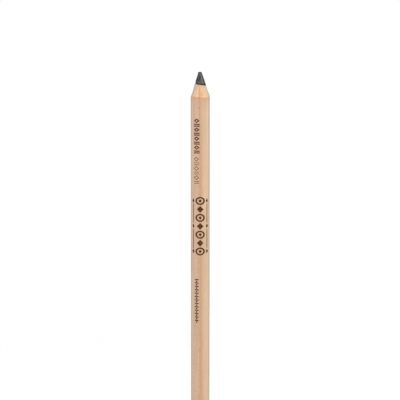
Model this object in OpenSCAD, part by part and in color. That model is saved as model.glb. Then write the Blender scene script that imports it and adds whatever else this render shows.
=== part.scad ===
// Wooden cosmetic pencil: two grooved slats glued round a soft colour core, sharpened at one end.
// It stands on its sawn end, with the point up. The glued joint lies in the plane x = 0,
// and the front glue line faces -Y.

/* [Barrel] */
// Length from the sawn end to the worn tip
pencil_length = 150; // [90:5:200]
// Diameter of the round barrel
barrel_diameter = 7.5; // [7:0.1:9]
// Height and depth of the eased edge at the sawn end
eased_edge = 0.2; // [0.1:0.05:0.6]

/* [Core] */
// Diameter of the colour core, and of the groove that the slats hold it in
core_diameter = 4; // [3:0.1:4.8]
// Distance of the core's axis from the barrel's, towards +X
core_offset = 0.16; // [0:0.02:0.3]

/* [Glued joint] */
// Thickness of the glue between the slats
glue_thickness = 0.12; // [0.06:0.02:0.3]

/* [Sharpened point] */
// Angle between the sharpened cone and the barrel's axis
cone_half_angle = 18.3; // [12:0.1:24]
// Distance of the cone's axis from the barrel's, towards -X
cone_offset = 0.04; // [0:0.01:0.3]
// Radial width of the torn wood ledge round the core
ledge_width = 0.28; // [0.1:0.02:0.5]
// Tilt of the ledge, which is lower on the +X side
ledge_tilt = 5; // [0:1:12]

/* [Worn tip] */
// Diameter across the blunt end of the core
tip_diameter = 1.3; // [0.6:0.1:1.7]
// Diameter where the worn stretch meets the sharpened cone
neck_diameter = 1.9; // [1.8:0.1:2.4]
// Length of the worn stretch
worn_length = 1.1; // [0.5:0.1:2]
// Rounding of the blunt end's rim
tip_rounding = 0.2; // [0.1:0.05:0.28]

/* [Hidden] */
$fn = 96;

barrel_r = barrel_diameter / 2;
core_r = core_diameter / 2;
neck_r = neck_diameter / 2;
tip_r = tip_diameter / 2;
half_glue = glue_thickness / 2;

// Height at which the sharpened cone has radius r
function cone_z(r) = pencil_length - worn_length - (r - neck_r) / tan(cone_half_angle);

// Height of the torn ledge on the barrel's axis
ledge_z = cone_z(core_r + ledge_width);

// Radius of the cutting shapes where they only have to be clear of the barrel
clear_r = 2 * barrel_r;

// Rounded rim of the blunt end, from its flat to its side, as [radius, height]
rim_steps = 8;
rim = [for (i = [0 : rim_steps])
    [tip_r - tip_rounding * (1 - sin(90 * i / rim_steps)),
     pencil_length - tip_rounding * (1 - cos(90 * i / rim_steps))]];

// Everything that the sharpener and wear left, as one turned shape
module sharpened_envelope() {
    translate([-cone_offset, 0, 0])
        rotate_extrude()
            polygon(concat(
                [[0, pencil_length]],
                rim,
                [[neck_r, pencil_length - worn_length],
                 [clear_r, cone_z(clear_r)],
                 [clear_r, -pencil_length],
                 [0, -pencil_length]]));
}

// Everything below the plane of the torn ledge
module below_ledge() {
    translate([0, 0, ledge_z])
        rotate([0, ledge_tilt, 0])
            translate([-pencil_length, -pencil_length, -2 * pencil_length])
                cube([2 * pencil_length, 2 * pencil_length, 2 * pencil_length]);
}

// The core before it is sharpened, and the hole that the wood has for it
module core_rod(z0, z1) {
    translate([core_offset, 0, z0])
        cylinder(r = core_r, h = z1 - z0);
}

// The wood and glue before they are split: a tube round the core, eased at the sawn end
module barrel_tube() {
    difference() {
        rotate_extrude()
            polygon([
                [0, 0],
                [barrel_r - eased_edge, 0],
                [barrel_r, eased_edge],
                [barrel_r, pencil_length],
                [0, pencil_length]]);
        core_rod(-pencil_length, 2 * pencil_length);
    }
}

// The part of the finished barrel that lies inside its child
module barrel_within() {
    intersection() {
        barrel_tube();
        sharpened_envelope();
        below_ledge();
        children();
    }
}

// A block clear of the barrel, from x0 to x1 and from y0 to y1
module block(x0, x1, y0, y1) {
    translate([x0, y0, -pencil_length])
        cube([x1 - x0, y1 - y0, 3 * pencil_length]);
}

module left_slat() {
    color("burlywood")
        barrel_within()
            block(-clear_r, -half_glue, -clear_r, clear_r);
}

module right_slat() {
    color("wheat")
        barrel_within()
            block(half_glue, clear_r, -clear_r, clear_r);
}

module front_glue_line() {
    color("saddlebrown")
        barrel_within()
            block(-half_glue, half_glue, -clear_r, 0);
}

module back_glue_line() {
    color("saddlebrown")
        barrel_within()
            block(-half_glue, half_glue, 0, clear_r);
}

module colour_core() {
    color("dimgray")
        intersection() {
            core_rod(0, pencil_length);
            sharpened_envelope();
        }
}

left_slat();
right_slat();
colour_core();
front_glue_line();
back_glue_line();
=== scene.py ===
import math

import bpy
import numpy as np
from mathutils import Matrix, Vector


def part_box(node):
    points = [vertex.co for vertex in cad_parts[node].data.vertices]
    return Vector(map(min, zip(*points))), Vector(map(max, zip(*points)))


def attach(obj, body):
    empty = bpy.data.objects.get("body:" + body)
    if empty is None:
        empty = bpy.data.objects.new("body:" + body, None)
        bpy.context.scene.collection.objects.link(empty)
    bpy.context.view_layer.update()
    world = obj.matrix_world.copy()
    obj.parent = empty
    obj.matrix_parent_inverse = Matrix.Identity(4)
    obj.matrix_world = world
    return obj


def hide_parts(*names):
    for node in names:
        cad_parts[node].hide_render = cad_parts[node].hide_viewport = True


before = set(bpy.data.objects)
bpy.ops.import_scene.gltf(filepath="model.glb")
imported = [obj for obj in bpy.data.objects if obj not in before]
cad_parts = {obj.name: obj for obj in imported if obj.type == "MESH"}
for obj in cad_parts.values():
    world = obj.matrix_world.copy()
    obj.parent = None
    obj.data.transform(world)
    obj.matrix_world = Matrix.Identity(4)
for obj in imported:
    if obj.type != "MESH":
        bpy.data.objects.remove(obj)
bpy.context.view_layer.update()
mm = 0.001  # the scene is in metres, and the sizes below are in mm
print("frame loaded:", ", ".join(sorted(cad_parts)))

# Sizes and shape functions that the pieces share

coreBox = [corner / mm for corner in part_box("colour_core")]
rightBox = [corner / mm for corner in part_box("right_slat")]
glueBox = [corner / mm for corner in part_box("front_glue_line")]

pencil = {
    "length": coreBox[1].z,
    "barrelR": rightBox[1].x,
    "coreR": (coreBox[1].x - coreBox[0].x) / 2,
    "coreOffset": (coreBox[1].x + coreBox[0].x) / 2,  # the core's axis lies this far towards +X
    "halfGlue": glueBox[1].x,
    "easedEdge": 0.2,  # at the sawn end
    "coneHalfAngle": math.radians(18.3),
    "coneOffset": 0.04,  # the cone's axis lies this far towards -X
    "coneLean": 0.14,  # at the cut edge the wood's cone has drifted this far towards +X
    "coneTwist": 0.036,  # and its radius is this share more, or less, at the corners between the axes
    "coneSag": 0.09,  # depth of its hollow halfway between the ledge and the cut edge
    "ledgeWidth": 0.28,  # torn wood round the core
    "ledgeTilt": math.radians(5),  # the ledge is lower on the +X side
    "tornRise": 0.17,  # the torn wood stands this high above it
    "tornFall": 0.06,  # and this much less for each mm towards +X
    "neckR": 0.95,  # where the worn stretch meets the cone
    "tipR": 0.65,
    "tipLean": 0.08,  # the worn stretch leans this far towards -X
    "wornLength": 1.1,
    "tipRounding": 0.2,
    "rounds": 6,  # steps in which the cut edge is found
}
spread = math.tan(pencil["coneHalfAngle"])
neckZ = pencil["length"] - pencil["wornLength"]


def coneRadius(z):
    # Radius about the cone's own axis: the neck's radius, and the drop below it times the spread
    return pencil["neckR"] + (neckZ - z) * spread


def coneHeight(radius):
    # The same line read the other way
    return neckZ - (radius - pencil["neckR"]) / spread


def reach(phi, radius, centre):
    # Distance from an axis, in the direction phi, to a circle whose centre lies off that axis along X
    return np.sqrt(radius**2 - (centre * np.sin(phi)) ** 2) + centre * np.cos(phi)


def ledgeHeight(x):
    # The ledge is a plane that falls towards +X
    return coneHeight(pencil["coreR"] + pencil["ledgeWidth"]) - x * math.tan(pencil["ledgeTilt"])


def rocking(phi, z):
    # The sharpener rocked on the wood, more and more from the ledge, 0, down to the cut edge, 1. This
    # gives how far, the cone's centre along X there, and the share of its radius, which changes with
    # twice the angle
    grown = np.clip((ledgeHeight(0) - z) / (ledgeHeight(0) - coneHeight(pencil["barrelR"])), 0, 1)
    centre = pencil["coneLean"] * grown - pencil["coneOffset"]
    return grown, centre, 1 + pencil["coneTwist"] * grown * np.sin(2 * phi)


def coneReach(phi, z):
    # Distance from the barrel's axis to the cone that the wood has at that height, less a half sine of sag
    grown, centre, share = rocking(phi, z)
    return reach(phi, coneRadius(z) * share, centre) - pencil["coneSag"] * np.sin(math.pi * grown)


def coneOver(phi, radius):
    # The height where that cone is as far out as the radius, found step by step
    z = coneHeight(radius)
    for attempt in range(pencil["rounds"]):
        z = z - (radius - coneReach(phi, z)) / spread
    return z


def waveNoise(x, y, z, pitch, seed, waves=30):
    # Cosine waves in random directions, added up to a number that is mostly from -2 to 2. pitch is the
    # usual distance between crests along x, y, z
    rng = np.random.default_rng(seed)
    turns = 2 * math.pi * rng.normal(size=(waves, 3)) / np.array(pitch)
    phases = rng.uniform(0, 2 * math.pi, waves)
    total = sum(np.cos(t[0] * x + t[1] * y + t[2] * z + p) for t, p in zip(turns, phases))
    return total * math.sqrt(2 / waves)


# Mesh makers. A shell is its points in mm, and its faces as lists of point numbers

def blockShell(place, stations):
    # The six sides of a block, as grids that share their edges. place turns the block's own three
    # coordinates, which run through the stations, into x, y and z
    counts = [len(s) for s in stations]
    sides = []
    for axis in range(3):
        across, along = (axis + 1) % 3, (axis + 2) % 3
        for end in (0, counts[axis] - 1):
            index = [None, None, None]
            index[across], index[along] = np.meshgrid(
                np.arange(counts[across]), np.arange(counts[along]), indexing="ij")
            index[axis] = np.full_like(index[across], end)
            key = (index[0] * counts[1] + index[1]) * counts[2] + index[2]
            quads = np.stack([key[:-1, :-1], key[1:, :-1], key[1:, 1:], key[:-1, 1:]], -1).reshape(-1, 4)
            sides.append(quads if end else quads[:, ::-1])
    used, quads = np.unique(np.concatenate(sides), return_inverse=True)
    own = [stations[0][used // (counts[1] * counts[2])],
           stations[1][used // counts[2] % counts[1]],
           stations[2][used % counts[2]]]
    return np.stack(place(*own), -1), quads.reshape(-1, 4), own


def ringShell(rings, closed=False):
    # Rings of points, each joined to the next. Either the last joins the first, or both close at a pole
    count, around = rings.shape[:2]
    points = rings.reshape(-1, 3)
    number = np.arange(count * around).reshape(count, around)
    following = np.roll(number, -1, axis=1)
    last = count if closed else count - 1
    above, aboveFollowing = np.roll(number, -1, axis=0), np.roll(following, -1, axis=0)
    faces = np.stack([number, following, aboveFollowing, above], -1)[:last].reshape(-1, 4).tolist()
    if not closed:
        poles = [rings[0].mean(axis=0), rings[-1].mean(axis=0)]
        faces += np.stack([following[0], number[0], np.full(around, len(points))], -1).tolist()
        faces += np.stack([number[-1], following[-1], np.full(around, len(points) + 1)], -1).tolist()
        points = np.concatenate([points, poles])
    return points, faces


def turnOutward(points, faces):
    # The triangles of a closed shell that faces outwards enclose a volume above 0; else all are turned over
    corners = np.array([face[:3] for face in faces] + [[f[0], f[2], f[3]] for f in faces if len(f) == 4])
    a, b, c = (points[corners[:, k]] for k in range(3))
    volume = np.einsum("ij,ij->", a, np.cross(b, c))
    return faces if volume > 0 else [face[::-1] for face in faces]


def makePiece(name, shells, materials, node=None, finishOf=None, crease=None):
    # One mesh of all the shells, in metres. finishOf gives each face its material, and an edge between
    # two points in crease stays sharp
    points, faces, start = [], [], 0
    for shellPoints, shellFaces in shells:
        points.append(shellPoints)
        turned = turnOutward(shellPoints, [list(face) for face in shellFaces])
        faces += [[start + k for k in face] for face in turned]
        start += len(shellPoints)
    mesh = bpy.data.meshes.new(name)
    mesh.from_pydata(np.concatenate(points) * mm, [], faces)
    mesh.shade_smooth()
    if crease is not None:
        ends = np.empty(len(mesh.edges) * 2, np.int32)
        mesh.edges.foreach_get("vertices", ends)
        sharp = mesh.attributes.new("sharp_edge", "BOOLEAN", "EDGE")
        sharp.data.foreach_set("value", crease[ends.reshape(-1, 2)].all(axis=1))
    for material in materials:
        mesh.materials.append(material)
    if finishOf is not None:
        mesh.polygons.foreach_set("material_index", finishOf.astype(np.int32))
    mesh.update()
    piece = bpy.data.objects.new(name, mesh)
    bpy.context.scene.collection.objects.link(piece)
    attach(piece, "root")
    if node:
        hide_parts(node)
    print(name, "made,", len(mesh.polygons), "faces")
    return piece


# Materials

def linear(hexColour):
    # sRGB hex to the linear numbers that a shader takes
    parts = [int(hexColour[k:k + 2], 16) / 255 for k in (1, 3, 5)]
    return [p / 12.92 if p <= 0.04045 else ((p + 0.055) / 1.055) ** 2.4 for p in parts] + [1.0]


def addNode(tree, kind, inputs, out=0, **settings):
    # Adds a node with its settings, fills its inputs with values, hex colours or links, and gives one
    # of its outputs
    node = tree.nodes.new("ShaderNode" + kind)
    for key, value in settings.items():
        setattr(node, key, value)
    for key, value in inputs.items():
        if isinstance(value, bpy.types.NodeSocket):
            tree.links.new(value, node.inputs[key])
        else:
            node.inputs[key].default_value = linear(value) if isinstance(value, str) else value
    return node.outputs[out] if len(node.outputs) else None


def newMaterial(name):
    # An empty node tree, and Object coordinates turned to mm
    material = bpy.data.materials.new(name)
    material.use_nodes = True
    tree = material.node_tree
    tree.nodes.clear()
    metres = addNode(tree, "TexCoord", {}, out="Object")
    return material, tree, addNode(tree, "VectorMath", {0: metres, "Scale": 1 / mm}, operation="SCALE")


def grains(tree, place, pitch, shift=(0, 0, 0), turn=0.0, detail=2.0):
    # Random grains of about the pitch in mm along each axis, from 0 to 1 and mostly near 0.5
    moved = addNode(tree, "Mapping", {"Vector": place, "Rotation": (0, 0, turn), "Location": shift})
    sized = addNode(tree, "VectorMath", {0: moved, 1: [1 / p for p in pitch]}, operation="MULTIPLY")
    return addNode(tree, "TexNoise", {"Vector": sized, "Scale": 1.0, "Detail": detail, "Roughness": 0.55})


# Usual radius, in mm, of the wood and of the core where they are sharpened
sharpenedR = {"wood": 3, "core": 1.5}


def upTheCone(tree, place, centre, radius):
    # Coordinates for streaks that run up a cone to its point: the direction from the cone's axis, times
    # one radius, and the height. centre is the axis's place along X
    flat = addNode(tree, "VectorMath", {0: place, 1: (1, 1, 0), 2: (-centre, 0, 0)},
                   operation="MULTIPLY_ADD")
    around = addNode(tree, "VectorMath", {0: flat}, operation="NORMALIZE")
    up = addNode(tree, "VectorMath", {0: place, 1: (0, 0, 1)}, operation="MULTIPLY")
    return addNode(tree, "VectorMath", {0: around, 1: (radius, radius, 0), 2: up}, operation="MULTIPLY_ADD")


def heightOver(tree, place, sheet):
    # Height above a sheet: z - level + fall * x + twist * x * y
    level, fall, twist = sheet
    flat = addNode(tree, "VectorMath", {0: place, 1: (fall, 0, 1)}, out="Value", operation="DOT_PRODUCT")
    x = addNode(tree, "SeparateXYZ", {0: place})
    y = addNode(tree, "SeparateXYZ", {0: place}, out="Y")
    product = addNode(tree, "Math", {0: x, 1: y}, operation="MULTIPLY")
    height = addNode(tree, "Math", {0: product, 1: twist, 2: flat}, operation="MULTIPLY_ADD")
    return addNode(tree, "Math", {0: height, 1: level}, operation="SUBTRACT")


# The sheets through the cut edge, the ledge and the top of the torn wood, each as level, fall and twist
cutSheet = (coneHeight(pencil["barrelR"]),
            (pencil["coneOffset"] - pencil["coneLean"]) / (pencil["barrelR"] * spread),
            -2 * pencil["coneTwist"] / (pencil["barrelR"] * spread))
ledgeSheet = (ledgeHeight(0), math.tan(pencil["ledgeTilt"]), 0.0)
tornSheet = (ledgeSheet[0] + pencil["tornRise"], ledgeSheet[1] + pencil["tornFall"], 0.0)


def jointDistance(tree, place):
    # Distance from the plane of the glued joint, which is x without its sign
    x = addNode(tree, "SeparateXYZ", {0: place})
    return addNode(tree, "Math", {0: x}, operation="ABSOLUTE")


def flankShare(tree, place):
    # 0 on the joint and 1 on the slat's flank: the distance from the joint over that from the axis
    flat = addNode(tree, "VectorMath", {0: place, 1: (1, 1, 0)}, operation="MULTIPLY")
    fromAxis = addNode(tree, "VectorMath", {0: flat}, out="Value", operation="LENGTH")
    return addNode(tree, "Math", {0: jointDistance(tree, place), 1: fromAxis}, operation="DIVIDE")


def layered(tree, colour, layers):
    # Tints laid over a colour one by one, each as strong as its own number from 0 to 1
    for cover, tint in layers:
        colour = addNode(tree, "Mix", {0: cover, 6: colour, 7: tint}, out=2, data_type="RGBA")
    return colour


def weighed(tree, parts):
    # The sum of numbers, each times its weight
    running = 0.0
    for number, weight in parts:
        running = addNode(tree, "Math", {0: number, 1: weight, 2: running}, operation="MULTIPLY_ADD")
    return running


# Both slats are a light, close-grained softwood, cut from different boards. Tones are dark, then light
leftBoard = {
    "lacquered": ("#c7a17f", "#e3be9c"),
    "tinge": "#d8a88c",  # of the pinkish clouds
    "cut": ("#d2a678", "#fdd6a8"),
    "shift": (3.0, 11.0, 40.0),  # of its grain, in mm
    "slicesShift": (7.7, 8.1, 19.3),  # and of the streaks where it is sliced
    "turn": math.radians(25),  # of the growth rings about the barrel's axis
    "rays": 0.8,  # strength of the short flecks across the grain
    "jointBand": 0.06,  # strength of the darker wood beside the joint
    "jointChips": 0.35,  # strength of the chipped fibres along the joint
    "paintedFlankLight": "#e0cab7",  # painted light: the flank made paler where the lamps' light falls off
    "paintedShadeStreaks": "#a3866b",  # painted shade: ragged brown streaks at the flank's rim
    "paintedFlankTint": "#d9b8a2",  # painted light and shade: the flank's tint where it was sharpened
}
rightBoard = {
    "lacquered": ("#cda986", "#e8c9a8"),
    "tinge": "#e4bd9c",
    "cut": ("#dba97b", "#ffd2ad"),
    "shift": (21.0, 5.0, 90.0),
    "slicesShift": (18.4, 14.1, 9.5),
    "turn": math.radians(70),
    "rays": 0.3,
    "jointBand": 0.85,
    "jointChips": 0.15,
    "paintedFlankLight": "#ead2b7",
    "paintedShadeStreaks": "#bba28b",
    "paintedFlankTint": "#e8cfaa",
}
grainPitch = {  # in mm, across and along the pencil
    "rings": (0.9, 3.5, 60),
    "streaks": (0.55, 0.55, 16),  # bundles of fibres, as single ones are too fine to show
    "fibres": (0.14, 0.14, 5),  # a few fibres wide, for a silky surface from close by
    "pores": (0.09, 0.09, 0.9),  # short dark dashes where a fibre is cut open
    "clouds": (4, 4, 7),
    "rays": (1.4, 1.4, 0.65),  # flecks across the grain, drawn coarser than real rays so that they show
}
figureWeights = {"rings": 0.9, "streaks": 0.7, "fibres": 0.5, "clouds": 0.5}  # rays have each board's own
figureSpread = 0.45  # of the weighed sum, to each side of its middle


def boardGrain(tree, place, board):
    # The board's figure as one number from 0, dark, to 1, light: the weighed sum of its noises, drawn out
    # about its middle. The noises come with it
    noise = {kind: grains(tree, place, pitch, board["shift"], board["turn"])
             for kind, pitch in grainPitch.items()}
    weights = figureWeights | {"rays": board["rays"]}
    figure = weighed(tree, [(noise[kind], weight) for kind, weight in weights.items()])
    middle = sum(weights.values()) / 2
    return addNode(tree, "MapRange", {
        "Value": figure, "From Min": middle - figureSpread, "From Max": middle + figureSpread}), noise


def lacqueredSoftwood(name, board):
    # Planed softwood under one thin coat of satin lacquer: an even, slightly grey tan with a soft sheen.
    # It is darker beside the joint, more so further down, and browner in a band below the cut edge. On the
    # flank it is painted paler, as painted light, and its rim has painted shade in ragged brown streaks
    material, tree, place = newMaterial(name)
    figure, noise = boardGrain(tree, place, board)
    pores = addNode(tree, "MapRange", {"Value": noise["pores"], "From Min": 0.66, "From Max": 0.74,
                                       "To Max": 0.45})
    tinge = addNode(tree, "MapRange", {"Value": grains(tree, place, (3, 3, 6), board["shift"]),
                                       "From Min": 0.45, "From Max": 0.65, "To Max": 0.4})
    z = addNode(tree, "SeparateXYZ", {0: place}, out="Z")
    fromJoint = jointDistance(tree, place)
    growsDown = addNode(tree, "MapRange", {
        "Value": z, "From Min": pencil["length"] - 13, "From Max": pencil["length"] - 30,
        "To Min": board["jointBand"] * 0.7, "To Max": board["jointBand"]})
    band = addNode(tree, "MapRange", {"Value": fromJoint, "From Min": 0.5, "From Max": 1.9,
                                      "To Min": growsDown, "To Max": 0.0})
    chipped = addNode(tree, "MapRange", {"Value": grains(tree, place, (0.7, 0.7, 0.5), board["shift"]),
                                         "From Min": 0.5, "From Max": 0.66, "To Max": board["jointChips"]})
    chips = addNode(tree, "MapRange", {"Value": fromJoint, "From Min": 0.25, "From Max": 1.1,
                                       "To Min": chipped, "To Max": 0.0})
    share = flankShare(tree, place)
    # Painted light: the flank is made paler towards its edge, where the lamps' light falls off
    paintedFlankLight = addNode(tree, "MapRange", {"Value": share, "From Min": 0.6, "From Max": 0.85, "To Max": 0.6})
    # Painted shade: the rim of the flank is darkened in ragged brown streaks, where the light falls off at
    # the edge
    paintedShadeStreaks = grains(tree, place, (0.2, 0.2, 25), board["shift"])
    ragged = weighed(tree, ((share, 1.0), (paintedShadeStreaks, 0.38)))
    flank = addNode(tree, "MapRange", {"Value": ragged, "From Min": 1.0, "From Max": 1.2,
                                       "To Max": 0.8})
    # Browner in a band just below the cut edge
    nearCutBrowning = addNode(tree, "MapRange", {"Value": heightOver(tree, place, cutSheet),
                                        "From Min": -2.4, "From Max": -0.2, "To Max": 0.45})
    colour = layered(tree, board["lacquered"][0], (
        (figure, board["lacquered"][1]), (tinge, board["tinge"]), (pores, "#8a6344"), (band, "#c79e7a"),
        (chips, "#a67a54"), (paintedFlankLight, board["paintedFlankLight"]), (flank, board["paintedShadeStreaks"]), (nearCutBrowning, "#cf9a66")))
    roughness = addNode(tree, "MapRange", {"Value": noise["streaks"], "From Min": 0.3, "From Max": 0.7,
                                           "To Min": 0.58, "To Max": 0.68})
    height = weighed(tree, ((noise["fibres"], 0.6), (noise["streaks"], 1.0), (pores, -1.0)))
    normal = addNode(tree, "Bump", {"Height": height, "Strength": 0.5, "Distance": 0.01 * mm})
    shader = addNode(tree, "BsdfPrincipled", {
        "Base Color": colour, "Roughness": roughness, "IOR": 1.48, "Normal": normal})
    addNode(tree, "OutputMaterial", {"Surface": shader})
    return material


def slicedSoftwood(name, board):
    # The same wood where the sharpener sliced it: bare, dry, lighter and warmer, with its grain open. It is
    # frayed and smeared with wax under the ledge. A highlight is painted just above the cut edge, and shade
    # is painted on the flank, greyer and darkest at the rim
    material, tree, place = newMaterial(name)
    figure, noise = boardGrain(tree, place, board)
    cone = upTheCone(tree, place, 0, sharpenedR["wood"])
    slices = grains(tree, cone, (0.38, 0.38, 4.5), board["slicesShift"])
    tone = addNode(tree, "MapRange", {"Value": weighed(tree, ((figure, 0.3), (slices, 1.8))),
                                      "From Min": 0.75, "From Max": 1.3})
    pores = addNode(tree, "MapRange", {"Value": noise["pores"], "From Min": 0.6, "From Max": 0.72,
                                       "To Max": 0.5})
    # Painted highlight: a paler band just above the cut edge
    paintedEdgeHighlight = addNode(tree, "MapRange", {"Value": heightOver(tree, place, cutSheet),
                                           "From Min": 1.0, "From Max": 0.3, "To Max": 0.3})
    fibres = addNode(tree, "MapRange", {"Value": grains(tree, place, (0.5, 0.5, 0.9)),
                                        "From Min": 0.4, "From Max": 0.6, "To Min": 0.2, "To Max": 0.95})
    underLedge = heightOver(tree, place, ledgeSheet)
    frayed = addNode(tree, "MapRange", {"Value": underLedge, "From Min": -1.3, "From Max": -0.3,
                                        "To Max": fibres})
    share = flankShare(tree, place)
    # Painted light and shade: the cone's flank takes a greyer or yellower tint, as the light falls on it
    paintedFlankTint = addNode(tree, "MapRange", {"Value": share, "From Min": 0.3, "From Max": 0.9, "To Max": 0.8})
    # Painted shade: darker and greyer at the very rim of the flank
    paintedRimShade = addNode(tree, "MapRange", {"Value": share, "From Min": 0.9, "From Max": 1.0, "To Max": 0.35})
    bruised = addNode(tree, "MapRange", {"Value": jointDistance(tree, place),
                                         "From Min": 0.05, "From Max": 0.35, "To Min": 0.6, "To Max": 0.0})
    spots = addNode(tree, "MapRange", {"Value": grains(tree, place, (0.3, 0.3, 0.4)),
                                       "From Min": 0.5, "From Max": 0.66, "To Max": 0.75})
    smear = addNode(tree, "MapRange", {"Value": underLedge, "From Min": -1.0, "From Max": -0.1,
                                       "To Max": spots})
    colour = layered(tree, board["cut"][0], (
        (tone, board["cut"][1]), (pores, "#a8764a"), (paintedEdgeHighlight, "#fbd2a6"), (paintedFlankTint, board["paintedFlankTint"]),
        (paintedRimShade, "#b39b86"), (bruised, "#cd965e"), (frayed, "#dcc7ad"), (smear, "#86705c")))
    height = weighed(tree, ((noise["fibres"], 1.0), (slices, 1.0), (pores, -1.0)))
    normal = addNode(tree, "Bump", {"Height": height, "Strength": 0.8, "Distance": 0.02 * mm})
    shader = addNode(tree, "BsdfPrincipled", {
        "Base Color": colour, "Roughness": 0.78, "IOR": 1.45, "Normal": normal})
    addNode(tree, "OutputMaterial", {"Surface": shader})
    return material


def sawnEndGrain(name, board):
    # The same wood sawn across: darker and dull, dotted with the ends of its fibres
    material, tree, place = newMaterial(name)
    dots = grains(tree, place, (0.12, 0.12, 2), board["shift"], board["turn"])
    rings = grains(tree, place, (0.8, 4, 20), board["shift"], board["turn"])
    tone = addNode(tree, "MapRange", {"Value": weighed(tree, ((dots, 0.8), (rings, 1.0))),
                                      "From Min": 0.6, "From Max": 1.2})
    colour = layered(tree, "#a67c55", ((tone, "#d2a97e"),))
    normal = addNode(tree, "Bump", {"Height": dots, "Strength": 0.7, "Distance": 0.03 * mm})
    shader = addNode(tree, "BsdfPrincipled", {
        "Base Color": colour, "Roughness": 0.85, "IOR": 1.45, "Normal": normal})
    addNode(tree, "OutputMaterial", {"Surface": shader})
    return material


def kohlWax():
    # Soft black pigment bound in wax and sliced by the sharpener: charcoal with a dull sheen, with lighter
    # streaks of painted sheen and painted shade on its sides, in the corner over the wood and just under
    # the blunt end
    material, tree, place = newMaterial("slicedKohlWax")
    cone = upTheCone(tree, place, -pencil["coneOffset"], sharpenedR["core"])
    streaks = grains(tree, cone, (0.4, 0.4, 6), (11.2, 2.4, 29.7))
    specks = grains(tree, place, (0.08, 0.08, 0.12), detail=1.0)
    mixed = weighed(tree, ((streaks, 1.0), (specks, 0.25)))
    # Painted shade: the core is darker towards its sides, where the light falls off
    sides = addNode(tree, "MapRange", {"Value": flankShare(tree, place), "From Min": 0.45, "From Max": 0.85,
                                       "To Max": 0.8})
    # Painted sheen: the lighter streaks stand in for light caught by the sharpener's flats
    tone = addNode(tree, "MapRange", {"Value": mixed, "From Min": 0.55, "From Max": 0.73})
    aboveWood = heightOver(tree, place, tornSheet)
    dusted = addNode(tree, "MapRange", {"Value": aboveWood, "From Min": 1.5, "From Max": 0.8,
                                        "To Max": 0.3})
    # Painted shade: a dark brown band in the corner where the core meets the torn wood
    paintedCornerShade = addNode(tree, "MapRange", {"Value": aboveWood, "From Min": 0.75, "From Max": 0.5})
    z = addNode(tree, "SeparateXYZ", {0: place}, out="Z")
    # Painted shade: darker on the steep worn stretch just under the blunt end
    paintedTipShade = addNode(tree, "MapRange", {"Value": z, "From Min": pencil["length"] - 0.6,
                                         "From Max": pencil["length"] - 0.1, "To Max": 0.55})
    colour = layered(tree, "#242522", (
        (tone, "#7f807b"), (dusted, "#93897f"), (sides, "#171816"), (paintedTipShade, "#1c1d1b"),
        (paintedCornerShade, "#3a2811")))
    roughness = addNode(tree, "MapRange", {"Value": streaks, "From Min": 0.3, "From Max": 0.7,
                                           "To Min": 0.4, "To Max": 0.5})
    normal = addNode(tree, "Bump", {"Height": mixed, "Strength": 0.6, "Distance": 0.02 * mm})
    shader = addNode(tree, "BsdfPrincipled", {
        "Base Color": colour, "Roughness": roughness, "IOR": 1.45, "Normal": normal,
        "Specular IOR Level": 0.2})
    addNode(tree, "OutputMaterial", {"Surface": shader})
    return material


def hardenedGlue():
    # Wood glue squeezed thin and hardened: a dull tan line with paler beads, browner near the cut and
    # fresh amber on the cone
    material, tree, place = newMaterial("hardenedWoodGlue")
    beads = addNode(tree, "MapRange", {"Value": grains(tree, place, (0.5, 0.5, 1.3)),
                                       "From Min": 0.4, "From Max": 0.56})
    aboveCut = heightOver(tree, place, cutSheet)
    nearCutBrowning = addNode(tree, "MapRange", {"Value": aboveCut, "From Min": -30, "From Max": 0, "To Max": 0.5})
    sliced = addNode(tree, "MapRange", {"Value": aboveCut, "From Min": -0.1, "From Max": 0.3,
                                        "To Max": 0.85})
    colour = layered(tree, "#bf9671", ((beads, "#d2aa85"), (nearCutBrowning, "#94663e"), (sliced, "#d69c62")))
    shader = addNode(tree, "BsdfPrincipled", {"Base Color": colour, "Roughness": 0.6, "IOR": 1.5})
    addNode(tree, "OutputMaterial", {"Surface": shader})
    return material


def stampingFoil():
    # Dark brown pigment foil pressed on hot: flat and matt, with pinholes where it missed a pore
    material, tree, place = newMaterial("brownStampingFoil")
    clouds = addNode(tree, "MapRange", {"Value": grains(tree, place, (0.9, 0.9, 1.6)),
                                        "From Min": 0.35, "From Max": 0.65, "To Max": 0.4})
    pinholes = addNode(tree, "MapRange", {"Value": grains(tree, place, (0.1, 0.1, 0.5)),
                                          "From Min": 0.63, "From Max": 0.7, "To Max": 0.8})
    colour = layered(tree, "#432510", ((clouds, "#5c3a1e"), (pinholes, "#c9a585")))
    shader = addNode(tree, "BsdfPrincipled", {
        "Base Color": colour, "Roughness": 0.65, "IOR": 1.5, "Specular IOR Level": 0.2})
    addNode(tree, "OutputMaterial", {"Surface": shader})
    return material


leftFinishes = [lacqueredSoftwood("lacqueredSoftwoodLeft", leftBoard),
                slicedSoftwood("slicedSoftwoodLeft", leftBoard),
                sawnEndGrain("sawnEndGrainLeft", leftBoard)]
rightFinishes = [lacqueredSoftwood("lacqueredSoftwoodRight", rightBoard),
                 slicedSoftwood("slicedSoftwoodRight", rightBoard),
                 sawnEndGrain("sawnEndGrainRight", rightBoard)]
waxFinish, glueFinish, foilFinish = kohlWax(), hardenedGlue(), stampingFoil()
print("materials made")

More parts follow.
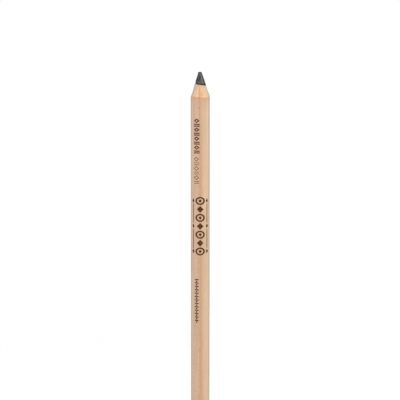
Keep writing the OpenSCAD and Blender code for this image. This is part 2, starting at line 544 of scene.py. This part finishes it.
# The wood and glue. v, along them, is 0 to 1 on the eased edge, to 2 on the barrel and to 3 on the cone
slat = {
    "cellsAround": 96,
    "cellsAcross": 5,
    "cellsGlue": 2,
    "cellsEased": 3,
    "cellsBarrel": 260,
    "cellsCone": 64,
    "skin": 0.014,  # the wood lies this far inside the barrel's full size, and the foil stands out of it
    "leastSkin": 1 / 3,  # share of this that it keeps everywhere
    "waviness": 0.002,  # relief of slow waves on the barrel
    "wavePitch": (3, 3, 30),
    "planing": 0.002,  # relief of its planed fibres
    "planingPitch": (0.3, 0.3, 9),
    "jointDip": 0.008,  # hairline groove at the glue
    "jointWidth": 0.07,
    "chatter": 0.007,  # ridges left by the sharpener's blade
    "chatterPitch": 0.24,
    "chatterWander": 0.7,  # radians that they wander with the slow waves
    "splitFibres": 0.006,  # relief of the sliced fibres
    "splitPitch": (0.16, 0.16, 1.3),
    "tornSeed": 5,
    "tornR": 2,  # radius where the ledge's noise is read
    "tear": 0.035,  # ragged height of the ledge
    "tearPitch": (0.9, 0.9, 1),
    "fineShare": 0.6,  # of a finer noise on it
    "finePitch": (0.22, 0.22, 1),
    "splinter": 0.09,  # height of the splinters, for each unit of the finer noise above the next value
    "splinterFrom": 1.1,
    "thinnest": 0.03,  # width that the ledge always keeps
    "leastWall": 0.01,  # and that the wood keeps over the groove
    "rounds": 3,  # steps in which the ledge's rim and the joint's edge are found
    "sawMarks": 0.012,
    "sawPitch": 0.55,
    "sawDirection": (0.8, 0.6),
    "glueSeed": 17,
}


def woodRelief(x, y, z, onCone, seed):
    # How far the surface lies inside the true form: planed fibres and slow waves on the barrel, a helix
    # of blade ridges and split fibres on the cone, and a dip along the joint on both
    waves = waveNoise(x, y, z, slat["wavePitch"], seed)
    fibres = waveNoise(x, y, z, slat["planingPitch"], seed + 1)
    splits = waveNoise(x, y, z, slat["splitPitch"], seed + 2)
    planed = slat["planing"] * fibres + slat["waviness"] * waves
    helix = np.cos(2 * math.pi * z / math.cos(pencil["coneHalfAngle"]) / slat["chatterPitch"]
                   + np.arctan2(y, x) + slat["chatterWander"] * waves)
    sliced = slat["chatter"] * helix + slat["splitFibres"] * splits
    dip = slat["jointDip"] * np.exp(-((np.abs(x) - pencil["halfGlue"]) / slat["jointWidth"]) ** 2)
    least = slat["skin"] * slat["leastSkin"]
    return np.maximum(slat["skin"] + np.where(onCone, sliced, planed), least) + dip


def tornHeight(phi):
    # Height of the torn wood over the ledge in each direction: a slope, two sizes of noise, and the
    # highest crests of the finer one as splinters
    x, y = slat["tornR"] * np.cos(phi), slat["tornR"] * np.sin(phi)
    coarse = waveNoise(x, y, 0, slat["tearPitch"], slat["tornSeed"] + 1)
    fine = waveNoise(x, y, 0, slat["finePitch"], slat["tornSeed"])
    return (pencil["tornRise"] - pencil["tornFall"] * x + slat["tear"] * (coarse + slat["fineShare"] * fine)
            + slat["splinter"] * np.maximum(fine - slat["splinterFrom"], 0))


def woodProfile(phi, w, v, seed):
    # Radius and height of the wood in the direction phi. w is 0 on the groove and 1 on the outside, which
    # follows the eased edge, the barrel and the cone, less the relief, up to the torn ledge
    eased, barrelR = pencil["easedEdge"], pencil["barrelR"]
    groove = reach(phi, pencil["coreR"], pencil["coreOffset"])
    edge = coneOver(phi, barrelR)
    torn, rim = tornHeight(phi), groove
    for attempt in range(slat["rounds"]):
        top = np.minimum(ledgeHeight(rim * np.cos(phi)) + torn, coneOver(phi, groove + slat["thinnest"]))
        rim = coneReach(phi, top)
    stretches = np.clip(np.stack([v, v - 1, v - 2]), 0, 1)
    z = stretches[0] * eased + stretches[1] * (edge - eased) + stretches[2] * (top - edge)
    r = np.minimum(barrelR, coneReach(phi, z)) - eased * (1 - stretches[0])
    x, y = r * np.cos(phi), r * np.sin(phi)
    r = np.maximum(r - woodRelief(x, y, z, v > 2, seed), groove + slat["leastWall"])
    innerZ = v / 3 * np.minimum(ledgeHeight(groove * np.cos(phi)) + torn, top)
    acrossSaw = slat["sawDirection"][0] * x + slat["sawDirection"][1] * y
    sawn = slat["sawMarks"] * (1 + np.cos(2 * math.pi * acrossSaw / slat["sawPitch"])) * (v == 0)
    return w * r + (1 - w) * groove, w * z + (1 - w) * innerZ + sawn


woodStations = np.concatenate([np.linspace(0, 1, slat["cellsEased"] + 1)[:-1],
                               np.linspace(1, 2, slat["cellsBarrel"] + 1)[:-1],
                               np.linspace(2, 3, slat["cellsCone"] + 1)])


def makeSlat(name, side, seed, finishes):
    def place(u, w, v):
        # u is -1 at the front joint and 1 at the back one, where the turn is such that the point lies on
        # the joint's plane
        turn = u * math.pi / 2
        for attempt in range(slat["rounds"]):
            r, z = woodProfile(turn if side > 0 else math.pi - turn, w, v, seed)
            turn = u * np.arccos(pencil["halfGlue"] / r)
        return side * r * np.cos(turn), r * np.sin(turn), z

    points, quads, (u, w, v) = blockShell(place, [
        np.linspace(-1, 1, slat["cellsAround"] + 1), np.linspace(0, 1, slat["cellsAcross"] + 1),
        woodStations])
    finishOf = np.where(v[quads].min(axis=1) >= 2, 1, np.where(v[quads].max(axis=1) == 0, 2, 0))
    onSides = (np.abs(u) == 1).astype(int) + ((w == 0) | (w == 1)) + ((v == 0) | (v == 3))
    crease = (onSides >= 2) | (np.isin(v, (1, 2)) & (w == 1))
    makePiece(name, [(points, quads)], finishes, name, finishOf, crease)


def makeGlueLine(name, side):
    def place(u, w, v):
        # u runs through the glue's thickness. Its outside has one radius all across, that of the wood
        # there with its own relief
        x = u * pencil["halfGlue"]
        r, z = woodProfile(np.full_like(v, side * math.pi / 2), w, v, slat["glueSeed"])
        return x, side * np.sqrt(r**2 - x**2), z

    points, quads, (u, w, v) = blockShell(place, [
        np.linspace(-1, 1, slat["cellsGlue"] + 1), np.linspace(0, 1, slat["cellsAcross"] + 1),
        woodStations])
    onSides = (np.abs(u) == 1).astype(int) + ((w == 0) | (w == 1)) + ((v == 0) | (v == 3))
    makePiece(name, [(points, quads)], [glueFinish], name, crease=onSides >= 2)


makeSlat("left_slat", side=-1, seed=51, finishes=leftFinishes)
makeSlat("right_slat", side=1, seed=87, finishes=rightFinishes)
makeGlueLine("front_glue_line", side=-1)
makeGlueLine("back_glue_line", side=1)

# The colour core
core = {
    "cellsAround": 160,
    # Where the rings lie: from, to and how many. s is 0 to 1 on the sawn disc, to 2 on the side, to 3 on
    # the cone, to 4 on the worn stretch, to 5 round the rim and to 6 on the blunt end
    "rings": ((0.05, 1, 8), (1, 1.96, 30), (1.96, 2, 30), (2, 3, 72), (3, 4, 18), (4, 5, 8), (5, 5.95, 8)),
    # How strongly some things show: stations along s, and the strength at each
    "ridged": ((2, 2.05, 3, 4), (0, 1, 1, 0.3)),
    "leaning": ((2.8, 4), (0, 1)),
    "dented": ((2.9, 3.3), (0, 1)),
    "endDented": ((4, 5), (0, 1)),
    "facets": 13,  # flats left by the turns of the sharpener
    "facetDepth": 0.5,  # share of a true flat's depth
    "facetSwirl": 0.05,  # turn of the facets for each mm of height
    "facetJitter": 0.25,  # share of a flat's width that each corner is moved by at most
    "facetSeed": 3,
    "swell": 0.045,  # the soft wax stands out this far past the true cone
    "collar": 0.13,  # and this far where it is smeared over the ledge
    "collarHeight": 0.6,
    "chatter": 0.003,  # relief of fine ridges from the blade
    "chatterPitch": 0.2,
    "crumbs": 0.006,  # relief of the wax's crumbly skin
    "crumbPitch": (0.14, 0.14, 0.2),
    "crumbSeed": 5,
    "dents": 0.02,  # wear of the tip
    "dentPitch": (0.5, 0.5, 0.5),
    "dentSeed": 9,
    "sideWaves": 0.5,  # share of it that comes and goes in waves, round the side
    "endWaves": 0.6,  # and on the end
}


def facetShare(phi, z):
    # How much less than the full radius each direction reaches, where flats of uneven width meet at
    # corners: 1 less the cosine of half the flat's angle over that of the angle from its middle
    rng = np.random.default_rng(core["facetSeed"])
    moved = rng.uniform(-core["facetJitter"], core["facetJitter"], core["facets"])
    corners = (np.arange(core["facets"]) + moved) * 2 * math.pi / core["facets"]
    corners = np.append(corners, corners[0] + 2 * math.pi)
    turned = (phi + core["facetSwirl"] * (z - neckZ) - corners[0]) % (2 * math.pi) + corners[0]
    k = np.clip(np.searchsorted(corners, turned, side="right") - 1, 0, core["facets"] - 1)
    middle, half = (corners[k] + corners[k + 1]) / 2, (corners[k + 1] - corners[k]) / 2
    return core["facetDepth"] * (1 - np.cos(half) / np.cos(turned - middle))


def makeCore():
    # Rings about the core's axis. The radius is the rod's and the collar's, then the cone's and the
    # swell's, then a straight line's and a quarter circle's, less the facets, ridges, crumbs and dents
    phi = np.arange(core["cellsAround"]) * 2 * math.pi / core["cellsAround"]
    stations = np.concatenate([np.linspace(*stretch)[:-1] for stretch in core["rings"]])
    s, phi = np.meshgrid(np.append(stations, core["rings"][-1][1]), phi, indexing="ij")
    rounding, rimZ = pencil["tipRounding"], pencil["length"] - pencil["tipRounding"]
    coneCentre = -pencil["coneOffset"] - pencil["coreOffset"]
    edge = coneHeight(reach(phi, pencil["coreR"], -coneCentre))
    part = np.clip(np.stack([s - k for k in range(6)]), 0, 1)
    bend = part[4] * math.pi / 2
    z = part[1] * edge + part[2] * (neckZ - edge) + part[3] * (rimZ - neckZ) + rounding * np.sin(bend)
    worn = pencil["neckR"] + (pencil["tipR"] - pencil["neckR"]) * part[3] - rounding * (1 - np.cos(bend))
    cut = np.where(s <= 3, coneRadius(np.minimum(z, neckZ)), worn) + core["swell"] * (s > 2)
    aboveLedge = z - ledgeHeight(pencil["coreR"] * np.cos(phi))
    collar = core["collar"] * np.exp(-np.maximum(aboveLedge, 0) / core["collarHeight"]) * (aboveLedge > 0)
    r = np.where(s < 2, pencil["coreR"] + collar, reach(phi, cut, coneCentre))
    x, y = r * np.cos(phi), r * np.sin(phi)
    ridged = np.interp(s, *core["ridged"])
    ridges = np.cos(2 * math.pi * z / core["chatterPitch"] + phi)
    crumbs = np.maximum(waveNoise(x, y, z, core["crumbPitch"], core["crumbSeed"]), -1)
    r = r * (1 - facetShare(phi, z) * ridged) - ridged * (core["chatter"] * (1 + ridges)
                                                          + core["crumbs"] * (1 + crumbs))
    waves = waveNoise(x, y, z, core["dentPitch"], core["dentSeed"])
    r = r - core["dents"] * np.interp(s, *core["dented"]) * (1 + core["sideWaves"] * waves)
    r = r * part[0] * (1 - part[5])
    z = z - core["dents"] * (1 + core["endWaves"] * waves) * np.interp(s, *core["endDented"])
    z = np.minimum(z, pencil["length"])
    lean = pencil["tipLean"] * np.interp(s, *core["leaning"])
    rings = np.stack([pencil["coreOffset"] + r * np.cos(phi) - lean, r * np.sin(phi), z], -1)
    makePiece("colour_core", [ringShell(rings)], [waxFinish], "colour_core")


makeCore()

# Plain stamped shapes in rows along the front. Distances round the barrel start at the front joint, and
# distances below are from the tip
stamp = {
    "inset": 0.001,  # the foil's face lies this far inside the barrel's full size
    "depth": 0.04,  # of the foil's solid, which is pressed into the wood
    "points": 64,  # round each outline
    "smallest": 0.12,  # share of the outline that the innermost ring of a solid shape has
    "solidRings": 8,
    "openRings": 5,
    "bold": {"around": -1.18, "below": 17.9, "wide": 2.4, "stroke": 0.44, "units": 4, "pitch": 3.52},
    "fine": {"around": -1.3, "below": 33.0, "wide": 2.1, "stroke": 0.22, "units": 3, "pitch": 3.7},
    "lozengeLong": 0.52,  # share of the pitch that a unit's lozenge takes
    "barPlaces": (0.66, 0.86),  # and where in it the bars lie
    "chain": {"around": 0.25, "below": 48.9, "wide": 3.9, "stroke": 0.7, "links": 7, "pitch": 3.4},
    "ringLong": 0.95,  # share of the chain's pitch that a ring in it has
    "linkWide": 0.7,  # share of the chain's width that a lozenge in it has
    "linkLong": 0.8,  # and its share of the pitch
    "dots": 1.6,  # strokes across a dot
    "knots": {"below": (50.6, 60.8, 71.0), "wide": 1.15, "long": 1.9},  # small lozenges beside the chain
    "rules": {"around": (-2.75, 3.25), "stroke": 0.34, "gap": 0.35},  # and the lines between them
    "small": {"around": -1.2, "below": 82.3, "wide": 1.7, "stroke": 0.42, "units": 13, "pitch": 1.4},
}


def outline(kind, wide, long):
    # A lozenge is two triangle waves, a rectangle the same waves doubled and clipped, and a ring cosine
    # and sine
    t = np.arange(stamp["points"]) / stamp["points"]
    a, b = np.abs(4 * t - 2) - 1, np.abs((4 * t - 1) % 4 - 2) - 1
    if kind == "rectangle":
        a, b = np.clip(2 * a, -1, 1), np.clip(2 * b, -1, 1)
    if kind == "ring":
        a, b = np.cos(2 * math.pi * t), np.sin(2 * math.pi * t)
    return np.stack([a * wide / 2, b * long / 2], -1)


def foilShape(kind, around, below, wide, long, hollow=0.0):
    # The outline at sizes from hollow, the open share in its middle, to 1, underneath and then on top.
    # Distance round the barrel becomes an angle from the front joint
    sizes = np.linspace(hollow, 1, stamp["openRings"]) if hollow else (
        np.linspace(stamp["smallest"], 1, stamp["solidRings"]))
    sizes, tops = np.append(sizes, sizes[::-1]), np.repeat([0.0, 1.0], len(sizes))
    flat = outline(kind, wide, long)[None] * sizes[:, None, None]
    angle = (around + flat[..., 0]) / pencil["barrelR"]
    z = pencil["length"] - below - flat[..., 1]
    r = pencil["barrelR"] - stamp["inset"] - stamp["depth"] * (1 - tops[:, None])
    return ringShell(np.stack([r * np.sin(angle), -r * np.cos(angle), z], -1), closed=hollow > 0)


def lozengeRow(row):
    # Each unit is an open lozenge and two bars. The open share of a lozenge is 1 less the stroke over the
    # distance from its middle to its sides
    shapes = []
    long = row["pitch"] * stamp["lozengeLong"]
    toSides = row["wide"] * long / math.hypot(row["wide"], long) / 2
    for k in range(row["units"]):
        start = row["below"] + k * row["pitch"]
        shapes.append(foilShape("lozenge", row["around"], start + long / 2, row["wide"], long,
                                1 - row["stroke"] / toSides))
        for share in stamp["barPlaces"]:
            shapes.append(foilShape("rectangle", row["around"], start + share * row["pitch"],
                                    row["wide"], row["stroke"]))
    return shapes


def chainRow(row):
    # Open rings with a dot take turns with solid lozenges
    shapes = []
    dot = row["stroke"] * stamp["dots"]
    for k in range(row["links"]):
        centre = row["below"] + (k + 0.5) * row["pitch"]
        if k % 2:
            shapes.append(foilShape("lozenge", row["around"], centre, row["wide"] * stamp["linkWide"],
                                    row["pitch"] * stamp["linkLong"]))
        else:
            shapes.append(foilShape("ring", row["around"], centre, row["wide"],
                                    row["pitch"] * stamp["ringLong"], 1 - 2 * row["stroke"] / row["wide"]))
            shapes.append(foilShape("ring", row["around"], centre, dot, dot))
    return shapes


def ruleLines(rules, knots):
    # On each side of the chain, small lozenges with a thin line between each two, which ends a gap short
    shapes = []
    for around in rules["around"]:
        for below in knots["below"]:
            shapes.append(foilShape("lozenge", around, below, knots["wide"], knots["long"]))
        for above, below in zip(knots["below"], knots["below"][1:]):
            shapes.append(foilShape("rectangle", around, (above + below) / 2, rules["stroke"],
                                    below - above - knots["long"] - 2 * rules["gap"]))
    return shapes


def smallRow(row):
    # Short bars and dots by turns
    shapes = []
    dot = row["stroke"] * stamp["dots"]
    for k in range(row["units"]):
        start = row["below"] + k * row["pitch"]
        between = start + (row["pitch"] + row["stroke"]) / 2
        shapes.append(foilShape("rectangle", row["around"], start + row["stroke"] / 2,
                                row["wide"], row["stroke"]))
        shapes.append(foilShape("ring", row["around"], between, dot, dot))
    return shapes


makePiece("stamped_lozenges", lozengeRow(stamp["bold"]) + lozengeRow(stamp["fine"]), [foilFinish])
makePiece("stamped_chain", chainRow(stamp["chain"]), [foilFinish])
makePiece("stamped_rules", ruleLines(stamp["rules"], stamp["knots"]), [foilFinish])
makePiece("stamped_small_row", smallRow(stamp["small"]), [foilFinish])

# Stage, light and camera
studio = {
    "floor": 3.0,  # in metres, as are the lamps' distances and sizes
    "floorLift": 0.33,  # white that only the camera sees on the floor, under the object's shadow
    "fade": (0.05, 0.2),  # the floor turns to plain white between these distances
    "skylight": 0.56,  # strength of the world on the object
    "lamps": {  # azimuth and elevation in degrees, distance, size and power in watts
        "keyLamp": (46, 28, 0.8, 0.6, 2.2),
        "fillLamp": (-42, 25, 0.8, 0.6, 1.8),
    },
}
view = {
    "azimuth": math.radians(4.5),
    "elevation": math.radians(10),
    "distance": 540,
    "aim": (-0.095, 99.13),  # to the right of the barrel's axis, and above the floor
    "pixelsPerRadian": 1358.3,
    "imageWidth": 400,  # in pixels
    "sensorWidth": 36,
    "clipStart": 0.01,  # in metres
}


def seen(tree):
    # 1 for what the camera sees, straight or in a reflection or through glass, and 0 for light on the
    # object
    path = addNode(tree, "LightPath", {}, out="Is Camera Ray")
    for other in ("Is Glossy Ray", "Is Transmission Ray"):
        ray = addNode(tree, "LightPath", {}, out=other)
        path = addNode(tree, "Math", {0: path, 1: ray}, operation="MAXIMUM")
    return path


def makeFloor():
    # Matt white paper. Its own light is only for the camera, so the object's shadow stays on it
    half = studio["floor"] / 2
    mesh = bpy.data.meshes.new("studio_floor")
    corners = [(-half, -half, 0), (half, -half, 0), (half, half, 0), (-half, half, 0)]
    mesh.from_pydata(corners, [], [(0, 1, 2, 3)])
    floor = bpy.data.objects.new("studio_floor", mesh)
    bpy.context.scene.collection.objects.link(floor)
    material = bpy.data.materials.new("whitePaper")
    material.use_nodes = True
    tree = material.node_tree
    tree.nodes.clear()
    place = addNode(tree, "TexCoord", {}, out="Object")
    away = addNode(tree, "VectorMath", {0: place}, out="Value", operation="LENGTH")
    far = addNode(tree, "MapRange", {"Value": away, "From Min": studio["fade"][0],
                                     "From Max": studio["fade"][1]})
    lift = addNode(tree, "Math", {0: seen(tree), 1: studio["floorLift"]}, operation="MULTIPLY")
    paper = addNode(tree, "BsdfDiffuse", {"Color": "#f2f2f2"})
    glow = addNode(tree, "Emission", {"Color": "#ffffff", "Strength": lift})
    near = addNode(tree, "AddShader", {0: paper, 1: glow})
    white = addNode(tree, "Emission", {"Color": "#ffffff", "Strength": 1.0})
    farSeen = addNode(tree, "Math", {0: far, 1: seen(tree)}, operation="MULTIPLY")
    surface = addNode(tree, "MixShader", {0: farSeen, 1: near, 2: white})
    addNode(tree, "OutputMaterial", {"Surface": surface})
    mesh.materials.append(material)


def makeWorld():
    # White where it is seen, and a plain skylight on the object
    world = bpy.data.worlds.new("studioWorld")
    world.use_nodes = True
    bpy.context.scene.world = world
    tree = world.node_tree
    tree.nodes.clear()
    strength = addNode(tree, "MapRange", {"Value": seen(tree), "To Min": studio["skylight"], "To Max": 1.0})
    shader = addNode(tree, "Background", {"Color": "#ffffff", "Strength": strength})
    addNode(tree, "OutputWorld", {"Surface": shader})


def direction(azimuth, elevation):
    # Azimuth 0 is in front, at -Y, and turns towards +X
    return Vector((math.sin(azimuth) * math.cos(elevation), -math.cos(azimuth) * math.cos(elevation),
                   math.sin(elevation)))


def makeLamps():
    # Square lamps round the middle of the pencil, which they face
    middle = Vector((0, 0, pencil["length"] / 2 * mm))
    for name, (azimuth, elevation, distance, size, power) in studio["lamps"].items():
        away = direction(math.radians(azimuth), math.radians(elevation))
        light = bpy.data.lights.new(name, "AREA")
        light.size, light.energy = size, power
        lamp = bpy.data.objects.new(name, light)
        lamp.location = middle + away * distance
        lamp.rotation_euler = away.to_track_quat("Z", "Y").to_euler()
        bpy.context.scene.collection.objects.link(lamp)


def makeCamera():
    # It looks at the aim from its distance. The lens's length is to the sensor's width as the pixels for
    # each radian are to the image's width
    away = direction(view["azimuth"], view["elevation"])
    right = Vector((math.cos(view["azimuth"]), math.sin(view["azimuth"]), 0))
    data = bpy.data.cameras.new("photoCamera")
    data.sensor_width = view["sensorWidth"]
    data.lens = view["pixelsPerRadian"] / view["imageWidth"] * data.sensor_width
    camera = bpy.data.objects.new("photoCamera", data)
    target = right * view["aim"][0] * mm + Vector((0, 0, view["aim"][1] * mm))
    camera.location = target + away * view["distance"] * mm
    camera.rotation_euler = away.to_track_quat("Z", "Y").to_euler()
    data.clip_start = view["clipStart"]
    bpy.context.scene.collection.objects.link(camera)
    bpy.context.scene.camera = camera


makeFloor()
makeWorld()
makeLamps()
makeCamera()
bpy.context.scene.view_settings.view_transform = "Standard"
print("studio made")
